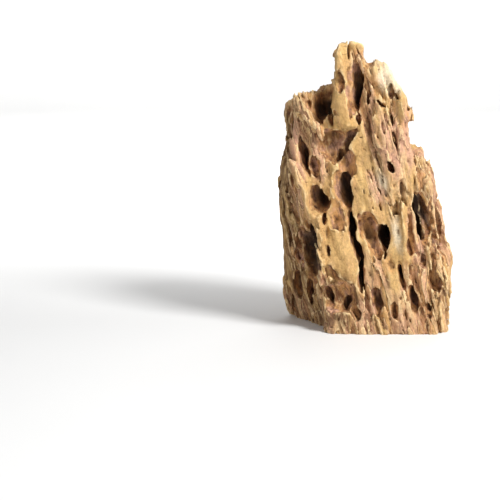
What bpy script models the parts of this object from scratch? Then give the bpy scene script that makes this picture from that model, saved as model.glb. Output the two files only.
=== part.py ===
"""A dragon stone: one tall block of weathered claystone that stands on its flat foot.

The stone is a single solid. Its body is a union of faceted blocks, swollen by a few lumps and
sunk by a few scoops, and water has eaten long pits into it along its slanting grain. The shape
is a field: at every point of space a node tree says how far the point is outside the stone, and
the stone's surface is where that distance is nothing.

Axes: +X right, +Y away from the front, +Z up. The origin is under the stone, on the surface
that it stands on. Tables are in millimetres and degrees, and Blender's scene is in metres.
"""

from __future__ import annotations

import math
import random
from collections.abc import Sequence
from dataclasses import dataclass

import bpy
from mathutils import Matrix, Vector

MM = 0.001
NAME = "dragon_stone"

# Driving dimensions, in millimetres.
LOW_CORNER = (-90.0, -66.0, -6.0)  # of the box that the field fills
HIGH_CORNER = (88.0, 62.0, 260.0)
VOXEL = 2.7
TRIANGLES = 9500

EDGE_ROUNDING = 5.0  # where two faces of a block meet
BLOCK_BLEND = 3.0  # where two blocks meet
LUMP_BLEND = 4.0  # where a lump or a scoop meets the blocks
PIT_LIP = 1.2  # how rounded the lip of a pit is
FOOT_RIM = 0.7  # below this height the stone is pressed flat onto what it stands on
SKIN_SINK = -1.8  # what the furrows are set back by, so that their ridges reach the blocks

GRAIN_LEAN = 13.0  # degrees that the grain's top leans to the left
GRAIN_STRETCH = 4.0  # how much longer than wide the weathering's marks are
FURROW_SIZE = 11.0
FURROW_DEPTH = 11.0
SWELL_SIZE = 16.0
SWELL_HEIGHT = 7.0
CALM_FURROWS = 0.22  # the share of the furrows' depth that is left on calm skin
CALM_FADE = 7.0  # how far beyond a calm patch the furrows are back to full depth

WARP_SIZE = 26.0  # the slow bends of every edge
WARP_REACH = (2.2, 2.2, 3.0)
PIT_WARP_SIZE = 9.0  # the quicker bends of the pits' lips
PIT_WARP_REACH = (1.2, 1.2, 1.8)

FRONT, LEFT, RIGHT, BACK = -90.0, 180.0, 0.0, 90.0  # headings, in degrees from +X


@dataclass(frozen=True)
class Face:
    """A fracture plane of a block: where it looks, how far up it looks, and its reach."""

    heading: float
    lean: float
    reach: float

    def outward(self) -> Vector:
        """Returns the unit vector that the face looks along."""
        heading, lean = math.radians(self.heading), math.radians(self.lean)
        level = math.cos(lean)
        return Vector((math.cos(heading) * level, math.sin(heading) * level, math.sin(lean)))


@dataclass(frozen=True)
class Block:
    """A convex piece of the body: the fracture planes around its middle."""

    middle: tuple[float, float, float]
    faces: tuple[Face, ...]

    def crossed(self, start: Vector, inward: Vector) -> float | None:
        """Returns how far past the start a line enters the block, or None where it misses."""
        enters, leaves = -math.inf, math.inf
        for face in self.faces:
            normal = face.outward()
            towards = inward.dot(normal)
            room = face.reach - normal.dot(start - Vector(self.middle))
            if abs(towards) < 1e-6:
                if room < 0:
                    return None
            elif towards > 0:
                leaves = min(leaves, room / towards)
            else:
                enters = max(enters, room / towards)
        return enters if enters < leaves else None


@dataclass(frozen=True)
class Oval:
    """An egg-shaped lump or hollow that is centred on the skin of the body.

    across and height place its middle as someone facing that side sees it. lean tips its top
    to the left, and turn runs its deep end off to the right.
    """

    across: float
    height: float
    width: float
    length: float
    depth: float
    lean: float = GRAIN_LEAN
    turn: float = 15.0
    heading: float = FRONT

    def halves(self) -> tuple[float, float, float]:
        """Returns half its width, half its length and its depth."""
        return (self.width / 2, self.length / 2, self.depth)

    def frame(self) -> Matrix:
        """Returns the matrix that carries a unit ball onto the oval, in metres."""
        angle = math.radians(self.heading)
        outward = Vector((math.cos(angle), math.sin(angle), 0.0))
        right = Vector((-math.sin(angle), math.cos(angle), 0.0))
        up = Vector((0.0, 0.0, 1.0))
        start = right * self.across + up * self.height
        found = [block.crossed(start, -outward) for block in BLOCKS]
        centre = start - outward * min((near for near in found if near is not None), default=0.0)
        lean, turn = math.radians(self.lean), math.radians(self.turn)
        along = up * math.cos(lean) - right * math.sin(lean)
        side = right * math.cos(lean) + up * math.sin(lean)
        inward = side * math.sin(turn) - outward * math.cos(turn)
        side = side * math.cos(turn) + outward * math.sin(turn)
        columns = [axis * size * MM for axis, size in zip((side, along, inward), self.halves())]
        frame = Matrix(columns).transposed().to_4x4()
        frame.translation = centre * MM
        return frame


BLOCKS = (
    Block(  # the left slab, up to the shoulder
        (-45.0, -2.0, 100.0),
        (
            Face(-92, 4, 37), Face(-150, 0, 32), Face(-152, -14, 25.5), Face(180, 0, 24),
            Face(128, 4, 32), Face(88, 6, 34), Face(0, 0, 34), Face(165, 67, 99.5),
            Face(85, 66, 100), Face(0, -90, 120),
        ),
    ),
    Block(  # the main body, up to the right shoulder
        (5.0, 0.0, 100.0),
        (
            Face(-91, 2, 44), Face(-146, 0, 56), Face(180, 2.5, 38), Face(92, 8, 38),
            Face(-40, 8, 59), Face(0, 15, 57.5), Face(48, 10, 55), Face(0, 0, 68),
            Face(0, 29, 70), Face(15, 80, 128), Face(95, 60, 118), Face(140, 12, 56),
            Face(0, -90, 120),
        ),
    ),
    Block(  # the peak
        (-18.0, -14.0, 215.0),
        (
            Face(-90, 5, 24), Face(180, 2, 6.5), Face(8, 8, 14), Face(92, 16, 17),
            Face(150, 66, 27.5), Face(20, 81, 31.5), Face(0, -90, 60),
        ),
    ),
)

# Lumps that stand out of the body, each named by what it is.
LUMPS = (
    Oval(22, 157, 34, 90, 8, lean=10, turn=0),  # the long plate on the right
    Oval(44.5, 131, 14, 36, 12, lean=3, turn=0),  # the step on the right edge
    Oval(47, 140, 10, 16, 12, lean=0, turn=0),  # the step's square top
    Oval(29, 192, 10, 21, 12, lean=5, turn=0),  # the knuckle over the right notch
    Oval(3, 224.5, 11, 12, 8, lean=0, turn=0),  # the knob beside the peak
    Oval(-44, 178, 9, 50, 6, lean=38, turn=0),  # the rib from the shoulder to the middle
    Oval(-23, 211, 10, 50, 5, lean=2, turn=0),  # the peak's own rib
    Oval(60, 48, 22, 40, 8, lean=8, turn=0),  # the crumbling foot
    Oval(30, 97, 5, 46, 4, lean=5, turn=0),  # the fin beside the long hole
    Oval(-27, 238.5, 8, 7, 6, lean=0, turn=0),  # the nub on the peak
    Oval(16, 221, 9, 17, 8, lean=35, turn=0),  # the pale slope beside the knob
    Oval(-52, 114, 6, 48, 5, lean=25, turn=0),  # the upper edge of the left side
    Oval(-40, 68, 6, 54, 5, lean=3, turn=0),  # the lower edge of the left side
    Oval(-66, 28, 9, 44, 8, lean=0, turn=0),  # the foot of the left side
    Oval(-4, 121, 30, 44, 4, lean=0, turn=0, heading=LEFT),  # the bulge of the left side
    Oval(20, 90, 44, 130, 7, lean=-10, turn=0, heading=BACK),  # the long swell of the back
    Oval(-14, 52, 34, 70, 8, lean=-10, turn=0, heading=BACK),  # the back's lower shoulder
)

# Wide soft hollows that shape the body.
SCOOPS = (
    Oval(-8, 170, 80, 45, 27, lean=0, turn=0, heading=RIGHT),  # the right notch
    Oval(30, 108, 34, 20, 5, lean=20, turn=0),  # under the long plate
    Oval(8, 210, 10, 34, 5, lean=-4, turn=0),  # beside the knob
    Oval(-26, 34, 30, 22, 8, lean=0, turn=0),  # over the foot
    Oval(-12, 150, 20, 100, 9, lean=-16, turn=0, heading=BACK),  # the long trough of the back
    Oval(-52, 110, 26, 50, 9, lean=-8, turn=0, heading=BACK),  # the back's upper bay
    Oval(48, 34, 30, 30, 8, lean=0, turn=0, heading=BACK),  # the back's lower bay
    Oval(22, 118, 22, 60, 8, lean=-4, turn=0, heading=RIGHT),  # the trough of the right side
)

# Where the skin is calm, between the rough ridges of the left and right.
CALM = (
    Oval(-16, 150, 30, 130, 22, turn=0),
    Oval(-24, 76, 26, 74, 22, turn=0),
    Oval(3, 122, 10, 52, 14, turn=0),
    Oval(-24, 215, 14, 44, 12, lean=0, turn=0),
    Oval(14, 174, 6, 56, 10, lean=8, turn=0),
    Oval(31, 172, 6, 50, 12, lean=8, turn=0),
    Oval(19, 221, 10, 22, 30, lean=14, turn=0),
    Oval(23, 89, 10, 34, 10, lean=14, turn=0),
    Oval(6, 95, 18, 70, 14, lean=-3, turn=0, heading=RIGHT),
    Oval(-18, 40, 16, 40, 12, lean=0, turn=0, heading=RIGHT),
    Oval(16, 180, 18, 40, 14, lean=0, turn=0, heading=RIGHT),
    Oval(14, 150, 22, 80, 16, lean=-10, turn=0, heading=BACK),
    Oval(-30, 78, 20, 76, 14, lean=-10, turn=0, heading=BACK),
    Oval(36, 46, 18, 44, 12, lean=-10, turn=0, heading=BACK),
    Oval(8, 152, 16, 60, 14, lean=3, turn=0, heading=LEFT),
    Oval(-14, 72, 12, 60, 12, lean=3, turn=0, heading=LEFT),
    Oval(20, 48, 16, 50, 12, lean=0, turn=0, heading=LEFT),
)

# Pits that water has eaten into the front, from the top down.
PITS = (
    Oval(-17, 243, 2.2, 16, 8, lean=-4, turn=0),
    Oval(17, 231, 6, 6, 5),
    Oval(-26, 217, 9, 20, 10, lean=10),
    Oval(-13, 213, 9.5, 48, 28, lean=-2, turn=28),
    Oval(-17, 210, 11, 42, 5, lean=0, turn=0),
    Oval(19, 210, 7, 15, 5, lean=0),
    Oval(-1.4, 202, 3.2, 19, 10, lean=-3),
    Oval(10, 198, 11, 4, 6, lean=-20),
    Oval(22, 176, 3.4, 48, 5, lean=7),
    Oval(35, 172, 3, 34, 4, lean=10),
    Oval(8, 168, 2.6, 40, 3, lean=9),
    Oval(-40, 203, 17, 44, 24, lean=-4, turn=20),
    Oval(-52, 196, 5, 9, 7),
    Oval(-30, 189, 5, 13, 9, lean=16),
    Oval(-21, 191, 7, 14, 5, lean=5),
    Oval(-10, 186.5, 3.6, 10, 9, lean=0),
    Oval(-23.5, 164, 12, 35, 13, lean=-34, turn=25),
    Oval(-31, 171.5, 24, 13, 8, lean=0),
    Oval(-31, 162, 20, 26, 8, lean=-10, turn=10),
    Oval(-38, 163, 10, 34, 8, lean=30, turn=15),
    Oval(-30, 154, 8, 15, 17, lean=0, turn=25),
    Oval(-56, 154, 7.5, 36, 16, lean=16),
    Oval(-47, 148, 8, 22, 10, lean=8),
    Oval(-18, 147.5, 15, 30, 7, lean=2, turn=20),
    Oval(19, 145.7, 4.6, 14, 11, lean=16),
    Oval(-23, 125, 15, 34, 20, lean=14, turn=32),
    Oval(-44, 117, 15, 26, 16, lean=26, turn=30),
    Oval(51, 122, 3, 14, 7, lean=6),
    Oval(22, 110, 7, 28, 7, lean=15),
    Oval(46, 101, 13, 50, 44, lean=13, turn=-20),
    Oval(-37, 102, 4.2, 12, 8, lean=6),
    Oval(-26.5, 103, 11, 30, 4, lean=12, turn=0),
    Oval(-15.5, 95, 8.5, 32, 30, lean=10),
    Oval(2.6, 89, 15, 44, 12, lean=16, turn=10),
    Oval(12.5, 86.5, 11.5, 26, 30, lean=8, turn=20),
    Oval(-6, 95, 7, 24, 6, lean=12),
    Oval(-10.5, 77, 8.5, 30, 30, lean=15),
    Oval(-56, 86, 8, 15, 14, lean=10),
    Oval(66, 83, 3.6, 16, 7, lean=8),
    Oval(57, 73, 4.2, 20, 11, lean=8),
    Oval(-33, 73, 4.2, 10, 8, lean=10),
    Oval(13.8, 70.5, 3.2, 9, 7, lean=0),
    Oval(-48, 72, 13, 58, 24, lean=12, turn=25),
    Oval(-58, 66, 7, 40, 10, lean=12, turn=25),
    Oval(60, 64, 5.5, 10, 8, lean=10),
    Oval(-60, 61, 6, 17, 10, lean=5),
    Oval(-6.5, 55, 6, 42, 28, lean=4),
    Oval(27.5, 53, 5.2, 24, 16, lean=4),
    Oval(-29, 50, 6, 20, 8, lean=25),
    Oval(-24, 32, 30, 30, 13, lean=-10, turn=10),
    Oval(59, 48, 12, 27, 10, lean=12),
    Oval(-58.5, 34, 10.5, 28, 17, lean=6),
    Oval(-34, 30, 8, 26, 18, lean=20),
    Oval(-47.5, 31, 8, 24, 16, lean=6),
    Oval(-18, 27, 9, 19, 18, lean=-24),
    Oval(9, 30, 9, 28, 14, lean=8),
    Oval(-11, 19, 8, 20, 10, lean=14),
    Oval(24, 21, 6, 15, 9, lean=4),
    Oval(40, 31, 10, 26, 16, lean=12),
    Oval(53, 21, 6, 16, 9, lean=10),
    Oval(47, 62, 5, 13, 8, lean=14),
    Oval(35, 76, 5, 18, 8, lean=12),
)


@dataclass(frozen=True)
class Scatter:
    """Pits strewn over the left, right and back in staggered rows, from a fixed seed."""

    seed: int = 11
    rows: tuple[int, int, int] = (28, 226, 22)  # from, to and step of the heights
    headings: tuple[int, int, int] = (-24, 216, 24)
    share: float = 0.8  # of the places that hold a pit
    narrowest: float = 5.0
    widest: float = 16.0

    def ovals(self) -> list[Oval]:
        """Returns the pits."""
        chance = random.Random(self.seed)
        found = []
        for row, height in enumerate(range(*self.rows)):
            for heading in range(*self.headings):
                pit = self.oval(chance, heading + 12 * (row % 2), height)
                if chance.random() < self.share:
                    found.append(pit)
        return found

    def oval(self, chance: random.Random, heading: float, height: float) -> Oval:
        """Returns a pit of a chance size near a place, drawn out along the grain."""
        width = self.narrowest + (self.widest - self.narrowest) * chance.random() ** 1.6
        heading += chance.uniform(-7, 7)
        return Oval(
            across=chance.uniform(-5, 5),
            height=height + chance.uniform(-8, 8),
            width=width,
            length=min(width * chance.uniform(1.6, 4.4), 1.7 * height),
            depth=width * chance.uniform(0.8, 2.1),
            lean=-GRAIN_LEAN * math.sin(math.radians(heading)) + chance.uniform(-8, 8),
            turn=chance.uniform(-35, 35),
            heading=heading,
        )


class Field:
    """A number or vector that varies over space: a socket of a Geometry Nodes tree."""

    def __init__(self, tree: bpy.types.NodeTree, socket: bpy.types.NodeSocket) -> None:
        self.tree = tree
        self.socket = socket

    def maths(self, operation: str, *values: Field | float) -> Field:
        """Returns a Math node's result for this field and the values."""
        return node(self.tree, "ShaderNodeMath", (self, *values), operation=operation)

    def vector(self, operation: str, *values: Field | tuple, result: str = "Vector") -> Field:
        """Returns a Vector Math node's result for this field and the values."""
        return node(self.tree, "ShaderNodeVectorMath", (self, *values), result, operation=operation)

    def __add__(self, other: Field | float) -> Field:
        return self.maths("ADD", other)

    def __sub__(self, other: Field | float) -> Field:
        return self.maths("SUBTRACT", other)

    def __mul__(self, other: Field | float) -> Field:
        return self.maths("MULTIPLY", other)

    def __neg__(self) -> Field:
        return self.maths("MULTIPLY", -1.0)


def node(
    tree: bpy.types.NodeTree, kind: str, values: Sequence = (), result: int | str = 0, **settings: object
) -> Field:
    """Adds a node with its settings and inputs, and returns one of its results."""
    made = tree.nodes.new(kind)
    for name, value in settings.items():
        setattr(made, name, value)
    for index, value in enumerate(values):
        if isinstance(value, Field):
            tree.links.new(value.socket, made.inputs[index])
        elif value is not None:
            made.inputs[index].default_value = value
    return Field(tree, made.outputs[result])


def moved(point: Field, matrix: Matrix) -> Field:
    """Returns the point as the matrix moves it."""
    numbers = [matrix[row][column] for column in range(4) for row in range(4)]
    carrier = node(point.tree, "FunctionNodeCombineMatrix", numbers)
    return node(point.tree, "FunctionNodeTransformPoint", (point, carrier))


def noise(point: Field, size: float, result: int | str = 0) -> Field:
    """Returns fractal noise from 0 to 1 whose largest swells are about size millimetres."""
    made = point.tree.nodes.new("ShaderNodeTexNoise")
    made.inputs["Scale"].default_value = 1.0 / (size * MM)
    point.tree.links.new(point.socket, made.inputs["Vector"])
    return Field(point.tree, made.outputs[result])


def warped(place: Field, size: float, reach: tuple[float, float, float]) -> Field:
    """Returns the place wandered off by noise of that size, by up to about reach millimetres."""
    wander = noise(place, size, "Color").vector("SUBTRACT", (0.5, 0.5, 0.5))
    return place.vector("ADD", wander.vector("MULTIPLY", tuple(4 * c * MM for c in reach)))


def block_distance(point: Field, block: Block) -> Field:
    """Returns how far the point is outside the block, in metres."""
    offset = point.vector("SUBTRACT", tuple(c * MM for c in block.middle))
    distance = None
    for face in block.faces:
        plane = offset.vector("DOT_PRODUCT", tuple(face.outward()), result="Value") - face.reach * MM
        distance = plane if distance is None else distance.maths("SMOOTH_MAX", plane, EDGE_ROUNDING * MM)
    return distance


def oval_distance(point: Field, oval: Oval) -> Field:
    """Returns about how far the point is outside the oval, in metres."""
    reach = moved(point, oval.frame().inverted()).vector("LENGTH", result="Value")
    return (reach - 1.0) * (min(oval.halves()) * MM)


def union(point: Field, ovals: Sequence[Oval]) -> Field:
    """Returns the distance to the nearest of the ovals."""
    distance = oval_distance(point, ovals[0])
    for oval in ovals[1:]:
        distance = distance.maths("MINIMUM", oval_distance(point, oval))
    return distance


def stone_distance(place: Field) -> Field:
    """Returns how far a place is outside the stone, in metres."""
    point = warped(place, WARP_SIZE, WARP_REACH)
    body = block_distance(point, BLOCKS[0])
    for block in BLOCKS[1:]:
        body = body.maths("SMOOTH_MIN", block_distance(point, block), BLOCK_BLEND * MM)
    body = body.maths("SMOOTH_MIN", union(point, LUMPS), LUMP_BLEND * MM)
    body = body.maths("SMOOTH_MAX", -union(point, SCOOPS), LUMP_BLEND * MM)
    upright = Matrix.Rotation(math.radians(GRAIN_LEAN), 4, "Y")
    grained = moved(place, Matrix.Diagonal((1, 1, 1 / GRAIN_STRETCH, 1)) @ upright)
    rough = union(point, CALM) * (1 / (CALM_FADE * MM))
    rough = rough.maths("MAXIMUM", CALM_FURROWS).maths("MINIMUM", 1.0)
    swell = (noise(grained, SWELL_SIZE) - 0.5) * (SWELL_HEIGHT * MM)
    furrow = ((noise(grained, FURROW_SIZE) - 0.5) * 2).maths("ABSOLUTE") * rough * (FURROW_DEPTH * MM)
    body = body + swell + furrow + SKIN_SINK * MM
    eaten = union(warped(point, PIT_WARP_SIZE, PIT_WARP_REACH), [*PITS, *Scatter().ovals()])
    stone = body.maths("SMOOTH_MAX", -eaten, PIT_LIP * MM)
    underground = place.vector("DOT_PRODUCT", (0.0, 0.0, -1.0), result="Value")
    return stone.maths("MAXIMUM", underground)


def stone_tree() -> bpy.types.NodeTree:
    """Returns the node tree that meshes the field."""
    tree = bpy.data.node_groups.new("stone_field", "GeometryNodeTree")
    tree.interface.new_socket("Geometry", in_out="OUTPUT", socket_type="NodeSocketGeometry")
    place = node(tree, "GeometryNodeInputPosition")
    cells = [round((high - low) / VOXEL) for low, high in zip(LOW_CORNER, HIGH_CORNER)]
    corners = [tuple(c * MM for c in corner) for corner in (LOW_CORNER, HIGH_CORNER)]
    volume = node(tree, "GeometryNodeVolumeCube", (-stone_distance(place), -1.0, *corners, *cells))
    surface = node(tree, "GeometryNodeVolumeToMesh", (volume,))
    surface.socket.node.inputs["Threshold"].default_value = 0.0
    result = tree.nodes.new("NodeGroupOutput")
    tree.links.new(surface.socket, result.inputs[0])
    return tree


def settled_tree() -> bpy.types.NodeTree:
    """Returns the node tree that keeps the main body alone and presses its foot's rim flat."""
    tree = bpy.data.node_groups.new("settled", "GeometryNodeTree")
    for direction in ("INPUT", "OUTPUT"):
        tree.interface.new_socket("Geometry", in_out=direction, socket_type="NodeSocketGeometry")
    surface = node(tree, "NodeGroupInput")
    island = node(tree, "GeometryNodeInputMeshIsland", result="Island Index")
    size = tree.nodes.new("GeometryNodeAccumulateField")
    tree.links.new(island.socket, size.inputs["Group ID"])
    total = Field(tree, size.outputs["Total"])
    most = node(tree, "GeometryNodeAttributeStatistic", (surface, None, total), "Max")
    kept = node(tree, "GeometryNodeDeleteGeometry", (surface, total.maths("LESS_THAN", most - 0.5)))
    place = node(tree, "GeometryNodeInputPosition")
    height = place.vector("DOT_PRODUCT", (0.0, 0.0, 1.0), result="Value")
    rim = height.maths("LESS_THAN", FOOT_RIM * MM)
    pressed = place.vector("MULTIPLY", (1.0, 1.0, 0.0))
    flat = node(tree, "GeometryNodeSetPosition", (kept, rim, pressed))
    result = tree.nodes.new("NodeGroupOutput")
    tree.links.new(flat.socket, result.inputs[0])
    return tree


def claystone() -> bpy.types.Material:
    """Returns the stone's material: dry tan clay."""
    material = bpy.data.materials.new("claystone")
    material.use_nodes = True
    shader = material.node_tree.nodes["Principled BSDF"]
    shader.inputs["Base Color"].default_value = (0.50, 0.30, 0.14, 1.0)
    shader.inputs["Roughness"].default_value = 0.85
    shader.inputs["Metallic"].default_value = 0.0
    return material


def triangle_count(thing: bpy.types.Object) -> int:
    """Returns how many triangles the object has as its modifiers leave it."""
    graph = bpy.context.evaluated_depsgraph_get()
    mesh = bpy.data.meshes.new_from_object(thing.evaluated_get(graph))
    mesh.calc_loop_triangles()
    count = len(mesh.loop_triangles)
    bpy.data.meshes.remove(mesh)
    return count


def main() -> None:
    """Builds the stone."""
    for old in list(bpy.data.objects):
        bpy.data.objects.remove(old)
    stone = bpy.data.objects.new(NAME, bpy.data.meshes.new(NAME))
    bpy.context.scene.collection.objects.link(stone)
    stone.modifiers.new("field", "NODES").node_group = stone_tree()
    fine = triangle_count(stone)
    stone.modifiers.new("facets", "DECIMATE").ratio = TRIANGLES / fine
    stone.modifiers.new("settled", "NODES").node_group = settled_tree()
    stone.data.materials.append(claystone())


if __name__ == "__main__":
    main()
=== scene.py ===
"""Looks of the dragon stone: a block of dry clay rock that water has eaten into pits and ridges.

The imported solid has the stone's blocks, lumps, hollows and pits in large facets. Here the stone is
grown again from nearly the same tables, as a much finer field that adds the furrows, layers,
fibres, pores and crumbs of the clay, and creases and cuts that are too fine for the solid. The
finished mesh stands for the solid. Marks stored on the mesh, such as how deep a point lies under
the skin, steer the colours of the clay.

Axes: +X right, +Y away from the front, +Z up. Tables are in millimetres and degrees.
"""

from __future__ import annotations

import logging
import math
import random
from collections.abc import Iterable, Sequence
from dataclasses import dataclass, field
from enum import Enum
from functools import reduce

import bmesh
import bpy
from mathutils import Matrix, Vector

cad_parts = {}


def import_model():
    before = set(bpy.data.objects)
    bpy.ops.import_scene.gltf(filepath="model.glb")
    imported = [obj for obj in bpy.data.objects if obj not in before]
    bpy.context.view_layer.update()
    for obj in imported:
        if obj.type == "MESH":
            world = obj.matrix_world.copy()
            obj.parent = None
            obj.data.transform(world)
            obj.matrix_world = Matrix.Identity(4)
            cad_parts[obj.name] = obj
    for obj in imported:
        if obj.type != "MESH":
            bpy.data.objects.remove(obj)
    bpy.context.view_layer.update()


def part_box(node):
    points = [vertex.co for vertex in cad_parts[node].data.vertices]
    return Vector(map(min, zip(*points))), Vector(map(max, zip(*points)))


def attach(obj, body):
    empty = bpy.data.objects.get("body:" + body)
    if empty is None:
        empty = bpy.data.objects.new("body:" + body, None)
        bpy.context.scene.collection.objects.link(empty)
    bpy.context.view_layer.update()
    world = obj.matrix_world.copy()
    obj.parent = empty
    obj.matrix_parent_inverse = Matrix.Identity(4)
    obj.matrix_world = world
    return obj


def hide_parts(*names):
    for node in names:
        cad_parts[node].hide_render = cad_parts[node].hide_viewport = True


LOG = logging.getLogger("dragon_stone")

NODE = "dragon_stone"
PIECE = "weathered_stone"
SLOT = "claystone"
BODY = "root"
MM = 0.001

Triple = tuple[float, float, float]
Colour = tuple[float, float, float]

FRONT, LEFT, RIGHT, BACK = -90.0, 180.0, 0.0, 90.0  # headings, in degrees from +X
GRAIN_LEAN = 13.0  # degrees that the grain's top leans to the left
PARALLEL = 1e-6  # the cosine below which a line runs along a face


# Nodes written as Python expressions


@dataclass(frozen=True)
class Noise:
    """Fractal noise around 0.5, whose largest swells are about size millimetres."""

    size: float
    detail: float = 2.0
    roughness: float = 0.5

    def inputs(self, place: Socket) -> dict[str, object]:
        """Returns what a noise texture takes to make it at a place."""
        scale = 1.0 / (self.size * MM)
        return {"Vector": place, "Scale": scale, "Detail": self.detail, "Roughness": self.roughness}


@dataclass(frozen=True)
class Wander:
    """A shift of places by noise, which has swells of a size and reaches so far each way."""

    size: float
    reach: Triple


@dataclass(frozen=True)
class Rise:
    """A smooth rise of a number from 0 at start to top at end."""

    start: float
    end: float
    top: float = 1.0

    def of(self, number: Socket, unit: float = 1.0) -> Socket:
        """Returns how far a number has risen; its unit is MM where it is a length in metres."""
        inputs = (number, self.start * unit, self.end * unit, 0.0, 1.0)
        risen = number.graph.add("ShaderNodeMapRange", inputs, interpolation_type="SMOOTHSTEP")
        return risen if self.top == 1.0 else risen * self.top


class Graph:
    """A node tree that Python expressions fill.

    Args:
        tree: The geometry or shader tree to fill.
    """

    def __init__(self, tree: bpy.types.NodeTree) -> None:
        """Keeps the tree."""
        self.tree = tree

    def add(
        self,
        kind: str,
        inputs: Sequence | dict[int | str, object] = (),
        output: int | str = 0,
        **settings: object,
    ) -> Socket:
        """Adds a node.

        Args:
            kind: The node's type.
            inputs: Values or sockets for its inputs, in order or by name; None leaves one alone.
            output: Which of its outputs to hand back.
            **settings: The node's own settings, which are set first.

        Returns:
            The chosen output.
        """
        node = self.tree.nodes.new(kind)
        for name, value in settings.items():
            setattr(node, name, value)
        pairs = inputs.items() if isinstance(inputs, dict) else enumerate(inputs)
        for key, value in pairs:
            if isinstance(value, Socket):
                self.tree.links.new(value.socket, node.inputs[key])
            elif value is not None:
                node.inputs[key].default_value = value
        return Socket(self, node.outputs[output])

    def ramp(self, factor: Socket, stops: Sequence[tuple[float, Colour]]) -> Socket:
        """Adds a colour ramp.

        Args:
            factor: Where on the ramp to read, from 0 to 1.
            stops: Places on the ramp and their colours.

        Returns:
            The colour.
        """
        colour = self.add("ShaderNodeValToRGB", (factor,))
        elements = colour.socket.node.color_ramp.elements
        while len(elements) < len(stops):
            elements.new(1.0)
        for element, (place, shade) in zip(elements, stops):
            element.position = place
            element.color = (*shade, 1.0)
        return colour

    def finish(self, kind: str, result: Socket) -> None:
        """Ends the tree with the node that takes its result."""
        end = self.tree.nodes.new(kind)
        self.tree.links.new(result.socket, end.inputs[0])


@dataclass(frozen=True)
class Socket:
    """A node's output, which arithmetic turns into further nodes."""

    graph: Graph
    socket: bpy.types.NodeSocket

    def maths(self, operation: str, *others: Socket | float) -> Socket:
        """Returns a Math node's result for this number and the others."""
        return self.graph.add("ShaderNodeMath", (self, *others), operation=operation)

    def vector(self, operation: str, *others: object, output: str = "Vector") -> Socket:
        """Returns a Vector Math node's result for this vector and the others."""
        return self.graph.add("ShaderNodeVectorMath", (self, *others), output, operation=operation)

    def __add__(self, other: Socket | float) -> Socket:
        """Returns the sum."""
        return self.maths("ADD", other)

    def __sub__(self, other: Socket | float) -> Socket:
        """Returns the difference."""
        return self.maths("SUBTRACT", other)

    def __rsub__(self, other: float) -> Socket:
        """Returns a plain number less this one."""
        return self.graph.add("ShaderNodeMath", (other, self), operation="SUBTRACT")

    def __mul__(self, other: Socket | float) -> Socket:
        """Returns the product."""
        return self.maths("MULTIPLY", other)

    def __neg__(self) -> Socket:
        """Returns the number with its sign turned."""
        return self.maths("MULTIPLY", -1.0)

    __radd__ = __add__
    __rmul__ = __mul__

    def between(self, low: float, high: float) -> Socket:
        """Returns the number kept from low to high."""
        return self.maths("MAXIMUM", low).maths("MINIMUM", high)

    def folded(self) -> Socket:
        """Returns twice how far the number is from a half."""
        return ((self - 0.5) * 2).maths("ABSOLUTE")

    def along(self, axis: Socket | Triple) -> Socket:
        """Returns how far the vector reaches along an axis."""
        return self.vector("DOT_PRODUCT", axis, output="Value")

    def mix(self, other: Socket | Colour, factor: Socket | float, blend: str = "MIX") -> Socket:
        """Returns this colour with so much of another mixed in."""
        second = other if isinstance(other, Socket) else (*other, 1.0)
        return self.graph.add(
            "ShaderNodeMix", {0: factor, 6: self, 7: second}, 2, data_type="RGBA", blend_type=blend
        )

    def coated(self, coats: Iterable[tuple[Socket | Colour, Socket]]) -> Socket:
        """Returns this colour under coats of others, each with how much of it there is."""
        return reduce(lambda colour, coat: colour.mix(*coat), coats, self)

    def noise(self, noise: Noise) -> Socket:
        """Returns the noise at this place."""
        return self.graph.add("ShaderNodeTexNoise", noise.inputs(self))

    def cells(self, size: float) -> Socket:
        """Returns how far this place is from the middle of its cell, in cells of a size."""
        return self.graph.add("ShaderNodeTexVoronoi", {"Vector": self, "Scale": 1 / (size * MM)})

    def wandered(self, wander: Wander) -> Socket:
        """Returns this place shifted by noise."""
        shift = self.graph.add("ShaderNodeTexNoise", Noise(wander.size).inputs(self), "Color")
        centred = shift.vector("SUBTRACT", (0.5, 0.5, 0.5))
        reach = tuple(4 * c * MM for c in wander.reach)
        return self.vector("ADD", centred.vector("MULTIPLY", reach))

    def carried(self, matrix: Matrix) -> Socket:
        """Returns this place carried by a matrix, in a geometry tree."""
        numbers = tuple(matrix[row][column] for column in range(4) for row in range(4))
        carrier = self.graph.add("FunctionNodeCombineMatrix", numbers)
        return self.graph.add("FunctionNodeTransformPoint", (self, carrier))


def joined(sockets: Iterable[Socket], operation: str, *others: float) -> Socket:
    """Returns one number from several, by a Math node between each and the next."""
    return reduce(lambda one, other: one.maths(operation, other, *others), sockets)


def linked(name: str, data: bpy.types.ID) -> bpy.types.Object:
    """Returns a new object that shows some data, linked to the scene."""
    thing = bpy.data.objects.new(name, data)
    bpy.context.scene.collection.objects.link(thing)
    return thing


def new_material(name: str) -> tuple[bpy.types.Material, Graph, Socket]:
    """Starts a material.

    Args:
        name: Its name.

    Returns:
        The material, its empty tree, and Object coordinates in it.
    """
    material = bpy.data.materials.new(name)
    material.use_nodes = True
    material.node_tree.nodes.clear()
    graph = Graph(material.node_tree)
    return material, graph, graph.add("ShaderNodeTexCoord", output="Object")


# The shape: the solid's blocks, lumps, scoops and pits


@dataclass(frozen=True)
class Face:
    """A fracture plane of a block: where it looks, how far up it looks, and its reach."""

    heading: float
    lean: float
    reach: float

    def outward(self) -> Vector:
        """Returns the unit vector that the face looks along."""
        heading, lean = math.radians(self.heading), math.radians(self.lean)
        level = math.cos(lean)
        return Vector((math.cos(heading) * level, math.sin(heading) * level, math.sin(lean)))


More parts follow.
